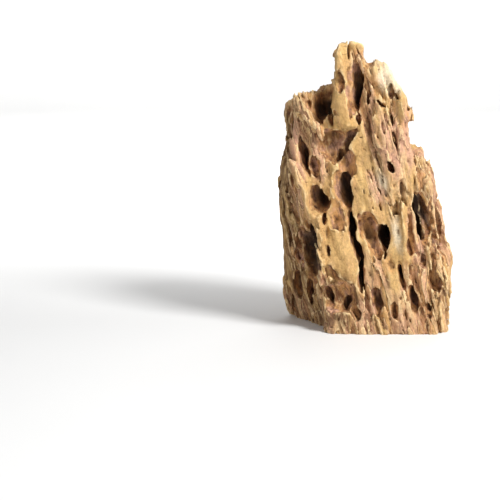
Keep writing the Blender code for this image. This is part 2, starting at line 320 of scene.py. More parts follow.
@dataclass(frozen=True)
class Block:
    """A convex piece of the body: the fracture planes around its middle."""

    middle: Triple
    faces: tuple[Face, ...]

    def crossed(self, start: Vector, inward: Vector) -> float | None:
        """Finds where a line enters the block.

        Args:
            start: A point on the line, in millimetres.
            inward: The line's direction.

        Returns:
            How far past the start it enters, or None where it misses.
        """
        enters, leaves = -math.inf, math.inf
        for face in self.faces:
            normal = face.outward()
            towards = inward.dot(normal)
            room = face.reach - normal.dot(start - Vector(self.middle))
            if abs(towards) < PARALLEL:
                if room < 0:
                    return None
            elif towards > 0:
                leaves = min(leaves, room / towards)
            else:
                enters = max(enters, room / towards)
        return enters if enters < leaves else None


@dataclass(frozen=True)
class Oval:
    """An egg-shaped lump or hollow that is centred on the skin of the body.

    across and height place its middle as someone facing that side sees it. lean tips its top
    to the left, and turn runs its deep end off to the right.
    """

    across: float
    height: float
    width: float
    length: float
    depth: float
    lean: float = GRAIN_LEAN
    turn: float = 15.0
    heading: float = FRONT

    def frame(self) -> Matrix:
        """Returns the matrix that carries a unit ball onto the oval, in metres."""
        angle = math.radians(self.heading)
        outward = Vector((math.cos(angle), math.sin(angle), 0.0))
        right = Vector((-math.sin(angle), math.cos(angle), 0.0))
        up = Vector((0.0, 0.0, 1.0))
        start = right * self.across + up * self.height
        found = [block.crossed(start, -outward) for block in BLOCKS]
        centre = start - outward * min((near for near in found if near is not None), default=0.0)
        lean, turn = math.radians(self.lean), math.radians(self.turn)
        along = up * math.cos(lean) - right * math.sin(lean)
        side = right * math.cos(lean) + up * math.sin(lean)
        inward = side * math.sin(turn) - outward * math.cos(turn)
        side = side * math.cos(turn) + outward * math.sin(turn)
        columns = [axis * size * MM for axis, size in zip((side, along, inward), self.halves())]
        frame = Matrix(columns).transposed().to_4x4()
        frame.translation = centre * MM
        return frame

    def halves(self) -> Triple:
        """Returns half its width, half its length and its depth, in millimetres."""
        return (self.width / 2, self.length / 2, self.depth)


def side(heading: float, *rows: tuple[float, ...]) -> tuple[Oval, ...]:
    """Returns one side's ovals from rows of across, height, width, length, depth, lean and turn."""
    return tuple(Oval(*row, heading=heading) for row in rows)


BLOCKS = (
    Block(  # the left slab, up to the shoulder
        (-45.0, -2.0, 100.0),
        (
            Face(-92, 4, 37), Face(-150, 0, 32), Face(-152, -14, 25.5), Face(180, 0, 24),
            Face(128, 4, 32), Face(88, 6, 34), Face(0, 0, 34), Face(165, 67, 99.5),
            Face(85, 66, 100), Face(0, -90, 120),
        ),
    ),
    Block(  # the main body, up to the right shoulder
        (5.0, 0.0, 100.0),
        (
            Face(-91, 2, 44), Face(-146, 0, 56), Face(180, 2.5, 38), Face(92, 8, 38),
            Face(-40, 8, 59), Face(0, 15, 57.5), Face(48, 10, 55), Face(0, 0, 68),
            Face(0, 29, 70), Face(15, 80, 128), Face(95, 60, 118), Face(140, 12, 56),
            Face(0, -90, 120),
        ),
    ),
    Block(  # the peak
        (-18.0, -14.0, 215.0),
        (
            Face(-90, 5, 24), Face(180, 2, 6.5), Face(8, 8, 14), Face(92, 16, 17),
            Face(150, 66, 27.5), Face(20, 81, 31.5), Face(0, -90, 60),
        ),
    ),
)

# Lumps that stand out of the body, each named by what it is.
LUMPS = (
    *side(
        FRONT,
        (20, 157, 31, 90, 8, 10, 0),  # the long plate on the right
        (46, 127, 14, 34, 12, 3, 0),  # the step on the right edge
        (48.5, 136, 9, 14, 12, 0, 0),  # the step's square top
        (26, 192, 10, 24, 6.5, 2, 0),  # the knuckle over the right notch
        (30, 190, 9, 14, 5.5, -28, 0),  # the knuckle's corner
        (2.5, 223, 12, 12, 6, 0, 0),  # the knob beside the peak
        (-44, 178, 9, 50, 6, 38, 0),  # the rib from the shoulder to the middle
        (-23, 211, 10, 50, 5, 2, 0),  # the peak's own rib
        (60, 48, 22, 40, 8, 8, 0),  # the crumbling foot
        (30, 97, 5, 46, 4, 5, 0),  # the fin beside the long hole
        (-24.5, 238, 8, 9, 8, 0, 0),  # the nub on the peak
        (12.5, 217, 14, 24, 4, 33, 0),  # the pale slope beside the knob
        (-52, 114, 6, 48, 5, 25, 0),  # the upper edge of the left side
        (-40, 68, 6, 54, 5, 3, 0),  # the lower edge of the left side
        (-66, 28, 9, 44, 8, 0, 0),  # the foot of the left side
    ),
    *side(LEFT, (-4, 121, 30, 44, 4, 0, 0)),  # the bulge of the left side
    *side(
        BACK,
        (20, 90, 44, 130, 7, -10, 0),  # the long swell of the back
        (-14, 52, 34, 70, 8, -10, 0),  # the back's lower shoulder
    ),
)

# Wide soft hollows that shape the body.
SCOOPS = (
    *side(
        FRONT,
        (-1, 245, 10, 18, 40, -12, 0),  # the peak's right edge
        (30, 108, 34, 20, 5, 20, 0),  # under the long plate
        (8, 210, 10, 30, 2.5, -4, 0),  # beside the knob
        (-26, 34, 30, 22, 8, 0, 0),  # over the foot
    ),
    *side(
        RIGHT,
        (-8, 170, 86, 45, 31, 0, 0),  # the right notch
        (22, 118, 22, 60, 8, -4, 0),  # the trough of the right side
    ),
    *side(
        BACK,
        (-12, 150, 20, 100, 9, -16, 0),  # the long trough of the back
        (-52, 110, 26, 50, 9, -8, 0),  # the back's upper bay
        (48, 34, 30, 30, 8, 0, 0),  # the back's lower bay
    ),
)

# Where the skin is calm, between the rough ridges of the left and right.
CALM = (
    *side(
        FRONT,
        (-16, 150, 30, 130, 22, 13, 0), (-24, 76, 26, 74, 22, 13, 0), (3, 122, 10, 52, 14, 13, 0),
        (-24, 215, 14, 44, 12, 0, 0), (14, 174, 6, 56, 10, 8, 0), (31, 172, 6, 50, 12, 8, 0),
        (19, 221, 10, 22, 30, 14, 0), (23, 89, 10, 34, 10, 14, 0),
    ),
    *side(
        RIGHT,
        (6, 95, 18, 70, 14, -3, 0), (-18, 40, 16, 40, 12, 0, 0), (16, 180, 18, 40, 14, 0, 0),
    ),
    *side(
        BACK,
        (14, 150, 22, 80, 16, -10, 0), (-30, 78, 20, 76, 14, -10, 0), (36, 46, 18, 44, 12, -10, 0),
    ),
    *side(
        LEFT,
        (8, 152, 16, 60, 14, 3, 0), (-14, 72, 12, 60, 12, 3, 0), (20, 48, 16, 50, 12, 0, 0),
    ),
)

# Pits that water has eaten into the front, from the top down.
PITS = side(
    FRONT,
    (-17, 243, 2.2, 16, 8, -4, 0), (17, 231, 6, 6, 5), (-26, 217, 9, 20, 10, 10),
    (-13, 213, 9.5, 48, 28, -2, 28), (-17, 210, 11, 42, 5, 0, 0), (19, 210, 7, 17, 3.5, 0),
    (-1.4, 202, 3.2, 19, 10, -3), (10, 198, 11, 4, 6, -20), (22, 176, 3.4, 48, 5, 7),
    (35, 172, 3, 34, 4, 10), (8, 168, 2.6, 40, 3, 9), (-40, 203, 17, 44, 24, -4, 20),
    (-52, 196, 5, 9, 7), (-30, 189, 5, 13, 9, 16), (-22, 191, 10, 12, 2.5, 5),
    (-10, 186.5, 3.6, 10, 9, 0), (-23.5, 164, 12, 35, 13, -34, 25), (-31, 171.5, 24, 13, 8, 0),
    (-31, 162, 20, 26, 8, -10, 10), (-38, 163, 10, 34, 8, 30, 15), (-30, 154, 8, 15, 17, 0, 25),
    (-56, 154, 7.5, 36, 16, 16), (-47, 148, 8, 22, 10, 8), (-18, 147.5, 15, 30, 7, 2, 20),
    (19, 145.7, 4.6, 14, 11, 16), (-23, 125, 15, 34, 20, 14, 32), (-44, 117, 15, 26, 16, 26, 30),
    (51, 122, 3, 14, 7, 6), (22, 110, 8, 30, 4.5, 15), (46, 101, 13, 50, 44, 13, -20),
    (-37, 102, 4.2, 12, 8, 6), (-28.5, 104, 15, 30, 6, 12, 0), (-15.5, 95, 8.5, 32, 30, 10),
    (2.6, 89, 15, 44, 12, 16, 10), (12.5, 86.5, 11.5, 26, 30, 8, 20), (-6, 95, 7, 24, 6, 12),
    (-10.5, 77, 8.5, 30, 30, 15), (-56, 86, 8, 15, 14, 10), (66, 83, 3.6, 16, 7, 8),
    (57, 73, 4.2, 20, 11, 8), (-33, 73, 4.2, 10, 8, 10), (13.8, 70.5, 3.2, 9, 7, 0),
    (-48, 72, 13, 58, 24, 12, 25), (-58, 66, 7, 40, 10, 12, 25), (60, 64, 5.5, 10, 8, 10),
    (-60, 61, 6, 17, 10, 5), (-6.5, 55, 6, 42, 28, 4), (27.5, 53, 5.2, 24, 16, 4),
    (-29, 50, 6, 20, 8, 25), (-24, 32, 30, 30, 13, -10, 10), (59, 48, 12, 27, 10, 12),
    (-58.5, 34, 10.5, 28, 17, 6), (-34, 30, 8, 26, 18, 20), (-47.5, 31, 8, 24, 16, 6),
    (-18, 27, 9, 19, 18, -24), (9, 30, 9, 28, 14, 8), (-11, 19, 8, 20, 10, 14),
    (24, 21, 6, 15, 9, 4), (40, 31, 10, 26, 16, 12), (53, 21, 6, 16, 9, 10), (47, 62, 5, 13, 8, 14),
    (35, 76, 5, 18, 8, 12),
)


@dataclass(frozen=True)
class Scatter:
    """Pits strewn over the left, right and back in staggered rows, from a fixed seed."""

    seed: int = 11
    rows: tuple[int, int, int] = (28, 226, 22)  # from, to and step of the heights
    headings: tuple[int, int, int] = (-24, 216, 24)
    share: float = 0.8  # of the places that hold a pit
    narrowest: float = 5.0
    widest: float = 16.0

    def ovals(self) -> list[Oval]:
        """Returns the pits."""
        chance = random.Random(self.seed)
        found = []
        for row, height in enumerate(range(*self.rows)):
            for heading in range(*self.headings):
                pit = self.oval(chance, heading + 12 * (row % 2), height)
                if chance.random() < self.share:
                    found.append(pit)
        return found

    def oval(self, chance: random.Random, heading: float, height: float) -> Oval:
        """Returns a pit of a chance size near a place, drawn out along the grain.

        Args:
            chance: Where the chance numbers come from.
            heading: Which way the pit's side faces, about.
            height: How high it lies, about.

        Returns:
            The pit.
        """
        width = self.narrowest + (self.widest - self.narrowest) * chance.random() ** 1.6
        heading += chance.uniform(-7, 7)
        return Oval(
            across=chance.uniform(-5, 5),
            height=height + chance.uniform(-8, 8),
            width=width,
            length=min(width * chance.uniform(1.6, 4.4), 1.7 * height),
            depth=width * chance.uniform(0.8, 2.1),
            lean=-GRAIN_LEAN * math.sin(math.radians(heading)) + chance.uniform(-8, 8),
            turn=chance.uniform(-35, 35),
            heading=heading,
        )


class Mark(Enum):
    """What is stored on the mesh for the colours to read."""

    DEPTH = "depth"  # millimetres under the skin that the pits were eaten into
    CREST = "crest"  # millimetres that a point stands out from around it
    TROUGH = "trough"  # millimetres that the furrows sink the skin
    ROUGH = "rough"  # from 0 on calm skin to 1 on ridges
    RUDDY = "ruddy"  # from 0 to 1 where the clay is pinkish
    PALE = "pale"  # from 0 to 1 where it is pale, partly bleaching and partly painted highlight
    BROWN = "brown"  # from 0 to 1 where it is dark brown, partly stain and partly painted shade
    WARM = "warm"  # from 0 to 1 where it is orange
    LAYER = "layer"  # counts the thin layers of the clay, one to each whole number


# Where the calm skin has broken into thin layers, which the solid is too coarse to have.
BROKEN = side(
    FRONT,
    (4, 128, 14, 40, 14, 22, 0), (22, 168, 30, 56, 14, 8, 0), (30, 194, 14, 26, 20, 5, 0),
    (-27, 165, 26, 20, 14, 0, 0), (68, 72, 16, 56, 40, 0, 0),
)

# Where the ridged skin is worn smooth.
WORN = side(
    FRONT,
    (34, 92, 16, 58, 16, 6, 0), (-52, 66, 18, 60, 30, 10, 0), (-72, 110, 10, 120, 60, 0, 0),
    (-30, 120, 22, 40, 14, 14, 0), (-54, 142, 10, 40, 16, 18, 0), (22, 54, 14, 40, 12, 6, 0),
    (-36, 200, 10, 40, 20, 0, 0), (-46, 116, 24, 54, 20, 24, 0),
)

# Creases, ticks and slots of the front that are too fine for the solid.
CREASES = side(
    FRONT,
    (17, 172, 1.6, 46, 3, 6, 0), (27, 178, 2.2, 40, 4.5, 4, 0), (31, 163, 1.6, 44, 3, 9, 0),
    (12.5, 163, 1.4, 34, 2.5, 9, 0), (24, 205, 2.4, 12, 5, 20, 0), (31, 196, 3, 10, 6, 25, 0),
    (34, 184, 2.2, 14, 5, -20, 0), (1, 136, 1.3, 16, 2, 24, 0), (8, 128, 1.4, 20, 2.4, 18, 0),
    (-5, 127, 1.2, 12, 1.8, 30, 0), (3, 112, 1.4, 14, 2, 34, 0), (10, 110, 1.6, 12, 2.4, 12, 0),
    (-13, 176, 7, 0.9, 1.6, -6, 0), (-8, 170, 5, 0.8, 1.4, 4, 0), (-4, 160, 6, 1.0, 1.6, -30, 0),
    (-24, 92, 5, 0.9, 1.4, -20, 0), (-22, 66, 5, 1.0, 1.8, -30, 0),
    (4.5, 221.5, 2.4, 12, 3.5, -48, 0), (-26.5, 193, 1.6, 12, 3, 14, 0),
    (-20.5, 190, 1.8, 11, 4, -8, 0), (-17, 194, 1.5, 12, 3, 6, 0),
)

# Cuts that deepen pits of the front and left, or join them.
CUTS = (
    *side(
        FRONT,
        (19.5, 146, 6.5, 18, 12, 18, 15), (-49, 66, 15, 50, 26, 10, 5),
        (-57, 84, 7, 14, 12, 10, 10), (-59, 60, 6, 22, 12, 5, 10), (-29, 167, 22, 22, 9, 0, 0),
        (-21, 165, 8, 34, 15, -34, 25), (-26, 216, 9, 22, 10, 8, 0), (-19, 147, 14, 30, 8, 2, 20),
        (-31.5, 187.5, 5, 13, 14, 14, 10), (-22, 192, 15, 17, 3.5, 20, 0),
        (-42, 116, 9, 18, 20, 24, 20), (45.5, 101, 12, 46, 30, 14, 14), (36, 88, 6, 44, 3.5, 14, 0),
        (57, 60, 5, 16, 10, 20, 10), (64, 62, 6, 9, 9, -20, 0),
    ),
    *side(LEFT, (4, 160, 20, 24, 20, -20, 10)),
)

# Where the clay is pinkish.
RUDDY = (
    *side(
        FRONT,
        (20, 165, 24, 56, 20, 8, 0), (6, 128, 10, 30, 14, 24, 0), (10, 222, 14, 16, 20, 0, 0),
        (13, 172, 10, 56, 14, 8, 0), (32, 168, 12, 60, 20, 8, 0), (42, 85, 14, 60, 20, 13, 0),
        (-62, 160, 12, 60, 30, 10, 0),
    ),
    *side(RIGHT, (0, 120, 50, 110, 30, 0, 0)),
    *side(BACK, (-20, 70, 50, 90, 30, -10, 0)),
)

# Where it is orange.
WARM = side(
    FRONT,
    (-18, 147, 15, 32, 22, 2, 0), (3, 87, 10, 44, 24, 14, 0), (31, 188, 14, 22, 16, 0, 0),
    (6, 211, 9, 26, 14, 0, 0), (36, 92, 7, 50, 16, 8, 0), (-17, 208, 6, 40, 16, 0, 0),
    (-28, 105, 8, 30, 14, 12, 0), (15, 62, 12, 24, 12, 10, 0),
)

# Where it is pale: partly bleaching, and partly a painted highlight.
PALE = side(
    FRONT,
    (15, 220, 22, 36, 18, 20, 0), (24, 88, 10, 32, 12, 14, 0), (12, 132, 10, 26, 8, 12, 0),
)

# Where it is dark brown: partly stain, and partly painted shade on the left side and low down.
BROWN = (
    *side(
        FRONT,
        (-74, 120, 26, 150, 60, 0, 0), (-64, 60, 34, 110, 60, 0, 0), (-50, 40, 30, 110, 34, 8, 0),
        (-22, 30, 38, 46, 30, 0, 0),
    ),
    *side(BACK, (30, 40, 40, 60, 30, 0, 0)),
)

# Where each tint lies, and how many millimetres its edge takes.
TINTS = {
    Mark.RUDDY: (RUDDY, Rise(1.5, -2)),
    Mark.PALE: (PALE, Rise(2, -3)),
    Mark.BROWN: (BROWN, Rise(3, -6)),
    Mark.WARM: (WARM, Rise(1.5, -2.5)),
}


@dataclass(frozen=True)
class Spot:
    """A place in the field, with what several layers of the clay read of it."""

    place: Socket
    point: Socket  # the place wandered off, which bends every edge
    rough: Socket  # how ridged the skin is, from calm to 1
    broken: Socket  # how far it has split into layers, from calm to 1


@dataclass(frozen=True)
class Weathering:
    """The field of the stone: how far outside it each place is, in metres.

    Its own sizes are in millimetres. A stretch is how many times longer than wide a form is.
    """

    pits: tuple[Oval, ...]

    # The body
    bend: Wander = Wander(26, (2.2, 2.2, 3.0))
    edge: float = 5.0  # rounding of the blocks' edges
    seam: float = 3.0  # rounding where blocks meet
    weld: float = 4.0  # rounding round lumps and scoops
    growth: float = 1.8  # makes up for what the furrows sink
    grain_stretch: float = 4.0
    swell: float = 7.0
    furrow: float = 11.0

    # How rough the skin is, and where
    tip: Rise = Rise(250, 236, 0.8)  # the heights between which the peak's top calms
    calm_edge: float = 7.0
    calmest: float = 0.22
    broken_edge: Rise = Rise(2, -3, 0.65)
    worn_edge: Rise = Rise(-3, 3)
    worn_rough: float = 0.5  # what wear leaves of the ridges
    worn_broken: float = 0.3  # what it leaves of the layers

    # Dimples and layers
    dimple_stretch: float = 2.6
    dimple_size: float = 8.0
    dimple: float = 2.2
    layer_stretch: float = 7.5
    layer_count: float = 11.0
    layer_least: float = 0.05  # the ledges' share on calm skin
    layer_most: float = 0.9
    ledge: float = 1.9

    # Grooves and fibres along the grain
    fibre_stretch: float = 13.0
    fibre: float = 1.2
    groove: float = 3.4

    # Crumbs and pores
    crumb_least: float = 0.35
    crumb_calm: float = 0.25  # the crumbs' share on calm skin
    crumb_rough: float = 0.8
    crumb: float = 1.6
    pore_stretch: float = 1.8
    pore_spacing: float = 9.0
    pore: float = 2.5
    texture_growth: float = 0.6

    # The edges of pits and cuts
    pit_wander: Wander = Wander(9, (1.2, 1.2, 1.8))
    pit_lip: float = 0.6
    ragged: Noise = Noise(4)
    ragged_depth: float = 1.2
    streak_stretch: float = 6.0
    streak_depth: float = 1.6
    dimpled_depth: float = 1.8
    cut_wander: Wander = Wander(7, (0.8, 0.8, 1.0))
    cut_lip: float = 0.4
    cut_depth: float = 1.2

    def block(self, point: Socket, block: Block) -> Socket:
        """Returns how far a place is outside a block whose edges are rounded."""
        offset = point.vector("SUBTRACT", tuple(c * MM for c in block.middle))
        planes = (offset.along(tuple(face.outward())) - face.reach * MM for face in block.faces)
        return joined(planes, "SMOOTH_MAX", self.edge * MM)

    def oval(self, point: Socket, oval: Oval) -> Socket:
        """Returns about how far a place is outside an oval."""
        inside = point.carried(oval.frame().inverted())
        return (inside.vector("LENGTH", output="Value") - 1.0) * (min(oval.halves()) * MM)

    def union(self, point: Socket, ovals: Sequence[Oval]) -> Socket:
        """Returns how far a place is outside the nearest of several ovals."""
        return joined((self.oval(point, oval) for oval in ovals), "MINIMUM")

    def grained(self, place: Socket, stretch: float) -> Socket:
        """Returns the place in a space that is squeezed along the grain."""
        turned = Matrix.Rotation(math.radians(GRAIN_LEAN), 4, "Y")
        return place.carried(Matrix.Diagonal((1, 1, 1 / stretch, 1)) @ turned)

    def spot(self, place: Socket) -> Spot:
        """Reads how rough the skin is at a place.

        Args:
            place: The place, in metres.

        Returns:
            The place with what the layers read of it.
        """
        point = place.wandered(self.bend)
        tip = self.tip.of(place.along((0.0, 0.0, 1.0)), MM) + (1 - self.tip.top)
        rough = (self.union(point, CALM) * (1 / (self.calm_edge * MM))).between(self.calmest, 1.0)
        broken = rough.maths("MAXIMUM", self.broken_edge.of(self.union(point, BROKEN), MM))
        ridged = self.worn_edge.of(self.union(point, WORN), MM)
        rough = rough * tip * (ridged * (1 - self.worn_rough) + self.worn_rough)
        broken = broken * tip * (ridged * (1 - self.worn_broken) + self.worn_broken)
        return Spot(place, point, rough, broken)

    def trough(self, spot: Spot) -> Socket:
        """Returns how far the rounded furrows between the sharp ridges sink the skin."""
        furrow = self.grained(spot.place, self.grain_stretch).noise(Noise(11)).folded()
        return furrow * spot.rough * (self.furrow * MM)

    def skin(self, spot: Spot) -> Socket:
        """Measures to the body before the pits are eaten.

        Args:
            spot: The place and how rough it is.

        Returns:
            How far outside the body it is.
        """
        point = spot.point
        body = joined((self.block(point, block) for block in BLOCKS), "SMOOTH_MIN", self.seam * MM)
        body = body.maths("SMOOTH_MIN", self.union(point, LUMPS), self.weld * MM)
        body = body.maths("SMOOTH_MAX", -self.union(point, SCOOPS), self.weld * MM)
        swell = self.grained(spot.place, self.grain_stretch).noise(Noise(16)) - 0.5
        return body + swell * (self.swell * MM) + self.trough(spot) - self.growth * MM

    def dimples(self, place: Socket) -> Socket:
        """Returns shallow dimples with sharp edges, from about -0.4 to 0.5."""
        wandered = place.wandered(Wander(7, (0.8, 0.8, 1.2)))
        return 0.5 - self.grained(wandered, self.dimple_stretch).cells(self.dimple_size)

    def layer(self, place: Socket) -> Socket:
        """Returns a number that counts the thin upright layers of the clay."""
        wandered = place.wandered(Wander(12, (0.6, 0.6, 1.2)))
        return self.grained(wandered, self.layer_stretch).noise(Noise(16)) * self.layer_count

    def ledges(self, spot: Spot) -> Socket:
        """Returns how far the broken edges of the layers sink the skin."""
        rest = self.layer(spot.place).maths("FRACT")
        share = spot.broken * self.layer_most + self.layer_least
        return (Rise(0.0, 0.2).of(rest) - rest) * share * (self.ledge * MM)

    def texture(self, spot: Spot, dimples: Socket) -> Socket:
        """Adds up the clay's finer relief.

        Args:
            spot: The place and how rough it is.
            dimples: The dimples there.

        Returns:
            How far grooves, dimples, ledges, fibres, crumbs and pores sink the skin.
        """
        place, rough = spot.place, spot.broken
        grain = self.grained(place.wandered(Wander(14, (0.9, 0.9, 1.6))), self.fibre_stretch)
        fibre = grain.noise(Noise(4, 1)).folded() * rough * (self.fibre * MM)
        grooved = Rise(0.42, 0.58).of(place.noise(Noise(24, 1))) * (self.groove * MM)
        groove = Rise(0.06, 0.0).of((grain.noise(Noise(9, 1)) - 0.5).maths("ABSOLUTE"))
        groove = groove * grooved * rough
        crumbly = Rise(0.45, 0.62, 0.8).of(place.noise(Noise(26, 1))) + self.crumb_least
        crumbly = crumbly * (rough * self.crumb_rough + self.crumb_calm)
        crumbs = (place.noise(Noise(5, 3, 0.6)) - 0.5) * crumbly * (self.crumb * MM)
        pore = Rise(0.24, 0.12).of(self.grained(place, self.pore_stretch).cells(self.pore_spacing))
        pore = pore * Rise(0.48, 0.62).of(place.noise(Noise(30))) * (self.pore * MM)
        dimple = dimples * rough * (self.dimple * MM)
        relief = fibre + crumbs + pore + groove + dimple + self.ledges(spot)
        return relief - self.texture_growth * MM

    def outside(self, place: Socket) -> Socket:
        """Measures to the finished stone.

        Args:
            place: The place, in metres.

        Returns:
            How far outside the stone it is.
        """
        spot = self.spot(place)
        dimples = self.dimples(place)
        body = self.skin(spot) + self.texture(spot, dimples)
        eaten = self.union(spot.point.wandered(self.pit_wander), self.pits)
        streaks = self.grained(place, self.streak_stretch).noise(self.ragged) - 0.5
        ragged = (place.noise(self.ragged) - 0.5) * (self.ragged_depth * MM)
        ragged = ragged + streaks * (self.streak_depth * MM) - dimples * (self.dimpled_depth * MM)
        stone = body.maths("SMOOTH_MAX", -(eaten + ragged), self.pit_lip * MM)
        split = self.union(spot.point.wandered(self.cut_wander), (*CREASES, *CUTS))
        split = split + (place.noise(Noise(3)) - 0.5) * (self.cut_depth * MM)
        stone = stone.maths("SMOOTH_MAX", -split, self.cut_lip * MM)
        return stone.maths("MAXIMUM", place.along((0.0, 0.0, -1.0)))


@dataclass
class Stone:
    """The whole stone: its field is meshed, thinned, pressed flat at the foot and coloured.

    low, high, the voxels and foot_rim are in millimetres.
    """

    low: Triple = (-90.0, -66.0, -4.0)
    high: Triple = (88.0, 62.0, 258.0)
    voxel: float = 1.0
    quick_voxel: float = 1.8
    triangles: int = 190_000
    foot_rim: float = 0.5
    crest_blurs: int = 10
    patch_wander: Wander = Wander(14, (4, 4, 6))
    weathering: Weathering = field(default_factory=lambda: Weathering((*PITS, *Scatter().ovals())))

    def field_tree(self) -> bpy.types.NodeTree:
        """Returns the node tree that meshes the field and keeps its largest body."""
        graph = Graph(bpy.data.node_groups.new("stone_field", "GeometryNodeTree"))
        interface = graph.tree.interface
        interface.new_socket("Geometry", in_out="OUTPUT", socket_type="NodeSocketGeometry")
        place = graph.add("GeometryNodeInputPosition")
        voxel = self.voxel
        cells = [round((top - bottom) / voxel) for bottom, top in zip(self.low, self.high)]
        ends = [tuple(c * MM for c in corner) for corner in (self.low, self.high)]
        density = -self.weathering.outside(place)
        volume = graph.add("GeometryNodeVolumeCube", (density, -1.0, *ends, *cells))
        surface = graph.add("GeometryNodeVolumeToMesh", {"Volume": volume, "Threshold": 0.0})
        island = graph.add("GeometryNodeInputMeshIsland", output="Island Index")
        total = graph.add("GeometryNodeAccumulateField", {"Group ID": island}, "Total")
        most = graph.add("GeometryNodeAttributeStatistic", (surface, None, total), "Max")
        small = total.maths("LESS_THAN", most - 0.5)
        whole = graph.add("GeometryNodeDeleteGeometry", (surface, small))
        graph.finish("NodeGroupOutput", self.marked(whole, place))
        return graph.tree

    def marked(self, surface: Socket, place: Socket) -> Socket:
        """Stores the marks on the mesh.

        Args:
            surface: The mesh.
            place: The position of each of its points.

        Returns:
            The mesh with its marks.
        """
        graph = surface.graph
        blurring = (place, self.crest_blurs)
        blur = graph.add("GeometryNodeBlurAttribute", blurring, data_type="FLOAT_VECTOR")
        crest = place.vector("SUBTRACT", blur).along(graph.add("GeometryNodeInputNormal"))
        clay = self.weathering
        spot = clay.spot(place)
        patch = place.wandered(self.patch_wander)
        marks = {
            Mark.DEPTH: -clay.skin(spot) * (1 / MM),
            Mark.CREST: crest * (1 / MM),
            Mark.TROUGH: clay.trough(spot) * (1 / MM),
            Mark.ROUGH: spot.broken,
            Mark.LAYER: clay.layer(place),
        }
        for mark, (ovals, edge) in TINTS.items():
            marks[mark] = edge.of(clay.union(patch, ovals), MM)
        for mark, value in marks.items():
            inputs = (surface, None, mark.value, value)
            surface = graph.add("GeometryNodeStoreNamedAttribute", inputs)
        return surface

    def mesh(self) -> bpy.types.Mesh:
        """Returns the finished mesh, thinned and pressed flat at the foot."""
        grown = linked("grown", bpy.data.meshes.new("grown"))
        grown.modifiers.new("field", "NODES").node_group = self.field_tree()
        fine = self.evaluated(grown)
        fine.calc_loop_triangles()
        count = len(fine.loop_triangles)
        LOG.info("grown: %d triangles", count)
        grown.modifiers.clear()
        grown.data = fine
        thin = grown.modifiers.new("thin", "DECIMATE")
        thin.ratio = min(1.0, self.triangles / count)
        mesh = self.evaluated(grown)
        bpy.data.objects.remove(grown)
        bpy.data.meshes.remove(fine)
        self.press_foot(mesh)
        return mesh

    def evaluated(self, thing: bpy.types.Object) -> bpy.types.Mesh:
        """Returns a new mesh of the object as its modifiers leave it."""
        graph = bpy.context.evaluated_depsgraph_get()
        return bpy.data.meshes.new_from_object(thing.evaluated_get(graph))

    def press_foot(self, mesh: bpy.types.Mesh) -> None:
        """Presses the rim of a mesh's foot flat onto the surface that the stone stands on."""
        for vertex in mesh.vertices:
            if vertex.co.z < self.foot_rim * MM:
                vertex.co.z = 0.0

    def build(self) -> bpy.types.Object:
        """Builds and dresses the stone, and puts it in the solid's place.

        Returns:
            The finished piece.
        """
        mesh = self.mesh()
        mesh.materials.clear()
        mesh.materials.append(Claystone().material())
        mesh.shade_smooth()
        piece = linked(PIECE, mesh)
        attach(piece, BODY)
        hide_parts(NODE)
        LOG.info("%s: %d faces", PIECE, len(mesh.polygons))
        return piece


@dataclass(frozen=True)
class Pattern:
    """What the clay's colours follow at a place."""

    place: Socket
    marks: dict[Mark, Socket]
    wandered: Socket
    stripes: Socket  # along the grain, a few millimetres wide
    streaks: Socket  # along the grain, finer
    fine: Socket  # specks


